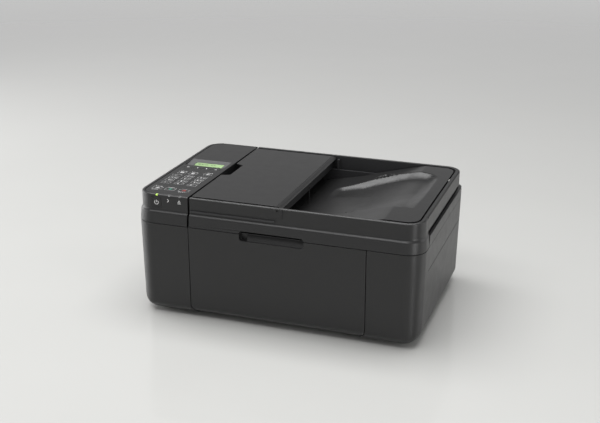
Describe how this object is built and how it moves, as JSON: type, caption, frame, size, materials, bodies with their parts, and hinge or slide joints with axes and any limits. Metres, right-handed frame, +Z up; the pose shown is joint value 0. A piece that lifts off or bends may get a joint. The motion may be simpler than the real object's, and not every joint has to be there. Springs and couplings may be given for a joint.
{
  "type": "inkjet printer",
  "caption": "Inkjet printer with flatbed scanner, document feeder, tilting display and keypad; its lid, covers, trays, guides, carriage, rollers and keys move.",
  "frame": {"origin": "middle of the footprint, on the surface the feet rest on", "axes": "+X to the right along the width, +Y from the front cover to the rear cover, +Z up"},
  "size_m": [0.435, 0.295, 0.1892],
  "materials": {
    "charcoal_plastic": "fine textured",
    "panel_plastic": "satin",
    "tray_plastic": "satin",
    "inner_plastic": "moulded",
    "grey_plastic": "moulded",
    "key_plastic": "satin",
    "rubber_feet": "matte",
    "sheet_steel": "zinc plated",
    "shaft_steel": "ground",
    "motor_steel": "plated",
    "circuit_board": "solder mask",
    "roller_rubber": "ground",
    "gear_plastic": "acetal",
    "belt_rubber": "matte",
    "glass": "clear",
    "display": "lit display",
    "white_sheet": "smooth",
    "screw_steel": "plated"
  },
  "bodies": {
    "printer": {"base_pan": "inner_plastic", "feet": "rubber_feet", "left_cover": "charcoal_plastic", "right_cover": "charcoal_plastic", "rear_cover": "charcoal_plastic", "chassis": "sheet_steel", "guide_shaft": "shaft_steel", "platen": "inner_plastic", "purge_unit": "grey_plastic", "main_board": "circuit_board", "power_supply": "inner_plastic", "drive_motors": "motor_steel", "carriage_belt": "belt_rubber", "screws": "screw_steel", "scanner_housing": "charcoal_plastic", "scanner_glass": "glass", "control_panel": "panel_plastic", "lcd_screen": "display"},
    "front_cover": {"front_cover": "charcoal_plastic"},
    "output_support": {"output_support": "inner_plastic"},
    "carriage": {"carriage": "inner_plastic", "black_cartridge": "inner_plastic", "color_cartridge": "inner_plastic"},
    "feed_roller": {"feed_roller": "roller_rubber"},
    "output_roller": {"output_roller": "roller_rubber"},
    "motor_gear": {"motor_gear": "gear_plastic"},
    "paper_guide_left": {"paper_guide_left": "grey_plastic"},
    "paper_guide_right": {"paper_guide_right": "grey_plastic"},
    "scan_bar": {"scan_bar": "inner_plastic"},
    "lid": {"lid_shell": "charcoal_plastic", "lid_base": "charcoal_plastic", "platen_pad": "white_sheet", "output_tray": "tray_plastic"},
    "document_tray": {"document_tray": "tray_plastic"},
    "adf_roller": {"adf_roller": "roller_rubber"},
    "document_guide_front": {"document_guide_front": "grey_plastic"},
    "document_guide_rear": {"document_guide_rear": "grey_plastic"},
    "power_button": {"power_button": "key_plastic"},
    "key_1": {"key_1": "key_plastic"},
    "key_2": {"key_2": "key_plastic"},
    "key_3": {"key_3": "key_plastic"},
    "key_4": {"key_4": "key_plastic"},
    "key_5": {"key_5": "key_plastic"},
    "key_6": {"key_6": "key_plastic"},
    "key_7": {"key_7": "key_plastic"},
    "key_8": {"key_8": "key_plastic"},
    "key_9": {"key_9": "key_plastic"},
    "key_star": {"key_star": "key_plastic"},
    "key_0": {"key_0": "key_plastic"},
    "key_hash": {"key_hash": "key_plastic"},
    "key_back": {"key_back": "key_plastic"},
    "key_left": {"key_left": "key_plastic"},
    "key_right": {"key_right": "key_plastic"},
    "key_ok": {"key_ok": "key_plastic"},
    "key_menu": {"key_menu": "key_plastic"},
    "key_setup": {"key_setup": "key_plastic"},
    "key_mode": {"key_mode": "key_plastic"},
    "key_black_start": {"key_black_start": "key_plastic"},
    "key_color_start": {"key_color_start": "key_plastic"},
    "key_stop": {"key_stop": "key_plastic"}
  },
  "joints": [
    {"name": "front_cover_hinge", "type": "hinge", "parent": "printer", "child": "front_cover", "pos_m": [0, -0.14, 0.017], "axis": [1, 0, 0], "range_deg": [0, 90]},
    {"name": "output_support_hinge", "type": "hinge", "parent": "front_cover", "child": "output_support", "pos_m": [0, -0.1363, 0.1249], "axis": [1, 0, 0], "range_deg": [-5, 175]},
    {"name": "carriage_slide", "type": "slide", "parent": "printer", "child": "carriage", "axis": [1, 0, 0], "range_m": [-0.28, 0]},
    {"name": "feed_roller_spin", "type": "hinge", "parent": "printer", "child": "feed_roller", "pos_m": [0, 0.046, 0.05], "axis": [1, 0, 0], "continuous": true},
    {"name": "output_roller_spin", "type": "hinge", "parent": "printer", "child": "output_roller", "pos_m": [0, -0.00824, 0.05], "axis": [1, 0, 0], "continuous": true},
    {"name": "motor_gear_spin", "type": "hinge", "parent": "printer", "child": "motor_gear", "pos_m": [0, 0.01888, 0.05], "axis": [1, 0, 0], "continuous": true},
    {"name": "paper_guide_left_slide", "type": "slide", "parent": "printer", "child": "paper_guide_left", "axis": [1, 0, 0], "range_m": [0, 0.055]},
    {"name": "paper_guide_right_slide", "type": "slide", "parent": "printer", "child": "paper_guide_right", "axis": [-1, 0, 0], "range_m": [0, 0.055]},
    {"name": "scan_bar_slide", "type": "slide", "parent": "printer", "child": "scan_bar", "axis": [1, 0, 0], "range_m": [0, 0.295]},
    {"name": "lid_hinge", "type": "hinge", "parent": "printer", "child": "lid", "pos_m": [0, 0.132, 0.163], "axis": [-1, 0, 0], "range_deg": [0, 60]},
    {"name": "document_tray_hinge", "type": "hinge", "parent": "lid", "child": "document_tray", "pos_m": [0.0064, 0, 0.1855], "axis": [0, 1, 0], "range_deg": [0, 152]},
    {"name": "adf_roller_spin", "type": "hinge", "parent": "lid", "child": "adf_roller", "pos_m": [-0.0675, 0, 0.178], "axis": [0, 1, 0], "continuous": true},
    {"name": "document_guide_front_slide", "type": "slide", "parent": "lid", "child": "document_guide_front", "axis": [0, 1, 0], "range_m": [0, 0.045]},
    {"name": "document_guide_rear_slide", "type": "slide", "parent": "lid", "child": "document_guide_rear", "axis": [0, -1, 0], "range_m": [0, 0.045]},
    {"name": "power_button_press", "type": "slide", "parent": "printer", "child": "power_button", "axis": [0, 1, 0], "range_m": [0, 0.0008], "stiffness_N_per_m": 400, "springref_m": -0.0006},
    {"name": "key_1_press", "type": "slide", "parent": "printer", "child": "key_1", "axis": [0, 0, -1], "range_m": [0, 0.0008], "stiffness_N_per_m": 300, "springref_m": -0.0005},
    {"name": "key_2_press", "type": "slide", "parent": "printer", "child": "key_2", "axis": [0, 0, -1], "range_m": [0, 0.0008], "stiffness_N_per_m": 300, "springref_m": -0.0005},
    {"name": "key_3_press", "type": "slide", "parent": "printer", "child": "key_3", "axis": [0, 0, -1], "range_m": [0, 0.0008], "stiffness_N_per_m": 300, "springref_m": -0.0005},
    {"name": "key_4_press", "type": "slide", "parent": "printer", "child": "key_4", "axis": [0, 0, -1], "range_m": [0, 0.0008], "stiffness_N_per_m": 300, "springref_m": -0.0005},
    {"name": "key_5_press", "type": "slide", "parent": "printer", "child": "key_5", "axis": [0, 0, -1], "range_m": [0, 0.0008], "stiffness_N_per_m": 300, "springref_m": -0.0005},
    {"name": "key_6_press", "type": "slide", "parent": "printer", "child": "key_6", "axis": [0, 0, -1], "range_m": [0, 0.0008], "stiffness_N_per_m": 300, "springref_m": -0.0005},
    {"name": "key_7_press", "type": "slide", "parent": "printer", "child": "key_7", "axis": [0, 0, -1], "range_m": [0, 0.0008], "stiffness_N_per_m": 300, "springref_m": -0.0005},
    {"name": "key_8_press", "type": "slide", "parent": "printer", "child": "key_8", "axis": [0, 0, -1], "range_m": [0, 0.0008], "stiffness_N_per_m": 300, "springref_m": -0.0005},
    {"name": "key_9_press", "type": "slide", "parent": "printer", "child": "key_9", "axis": [0, 0, -1], "range_m": [0, 0.0008], "stiffness_N_per_m": 300, "springref_m": -0.0005},
    {"name": "key_star_press", "type": "slide", "parent": "printer", "child": "key_star", "axis": [0, 0, -1], "range_m": [0, 0.0008], "stiffness_N_per_m": 300, "springref_m": -0.0005},
    {"name": "key_0_press", "type": "slide", "parent": "printer", "child": "key_0", "axis": [0, 0, -1], "range_m": [0, 0.0008], "stiffness_N_per_m": 300, "springref_m": -0.0005},
    {"name": "key_hash_press", "type": "slide", "parent": "printer", "child": "key_hash", "axis": [0, 0, -1], "range_m": [0, 0.0008], "stiffness_N_per_m": 300, "springref_m": -0.0005},
    {"name": "key_back_press", "type": "slide", "parent": "printer", "child": "key_back", "axis": [0, 0, -1], "range_m": [0, 0.0008], "stiffness_N_per_m": 300, "springref_m": -0.0005},
    {"name": "key_left_press", "type": "slide", "parent": "printer", "child": "key_left", "axis": [0, 0, -1], "range_m": [0, 0.0008], "stiffness_N_per_m": 300, "springref_m": -0.0005},
    {"name": "key_right_press", "type": "slide", "parent": "printer", "child": "key_right", "axis": [0, 0, -1], "range_m": [0, 0.0008], "stiffness_N_per_m": 300, "springref_m": -0.0005},
    {"name": "key_ok_press", "type": "slide", "parent": "printer", "child": "key_ok", "axis": [0, 0, -1], "range_m": [0, 0.0008], "stiffness_N_per_m": 300, "springref_m": -0.0005},
    {"name": "key_menu_press", "type": "slide", "parent": "printer", "child": "key_menu", "axis": [0, 0, -1], "range_m": [0, 0.0008], "stiffness_N_per_m": 300, "springref_m": -0.0005},
    {"name": "key_setup_press", "type": "slide", "parent": "printer", "child": "key_setup", "axis": [0, 0, -1], "range_m": [0, 0.0008], "stiffness_N_per_m": 300, "springref_m": -0.0005},
    {"name": "key_mode_press", "type": "slide", "parent": "printer", "child": "key_mode", "axis": [0, 0, -1], "range_m": [0, 0.0008], "stiffness_N_per_m": 300, "springref_m": -0.0005},
    {"name": "key_black_start_press", "type": "slide", "parent": "printer", "child": "key_black_start", "axis": [0, 0, -1], "range_m": [0, 0.0008], "stiffness_N_per_m": 300, "springref_m": -0.0005},
    {"name": "key_color_start_press", "type": "slide", "parent": "printer", "child": "key_color_start", "axis": [0, 0, -1], "range_m": [0, 0.0008], "stiffness_N_per_m": 300, "springref_m": -0.0005},
    {"name": "key_stop_press", "type": "slide", "parent": "printer", "child": "key_stop", "axis": [0, 0, -1], "range_m": [0, 0.0008], "stiffness_N_per_m": 300, "springref_m": -0.0005}
  ],
  "couplings": [
    {"joint": "output_support_hinge", "follows": "front_cover_hinge", "ratio": 1.88},
    {"joint": "output_roller_spin", "follows": "feed_roller_spin", "ratio": 1},
    {"joint": "motor_gear_spin", "follows": "feed_roller_spin", "ratio": -2},
    {"joint": "paper_guide_right_slide", "follows": "paper_guide_left_slide", "ratio": 1},
    {"joint": "document_guide_rear_slide", "follows": "document_guide_front_slide", "ratio": 1}
  ]
}
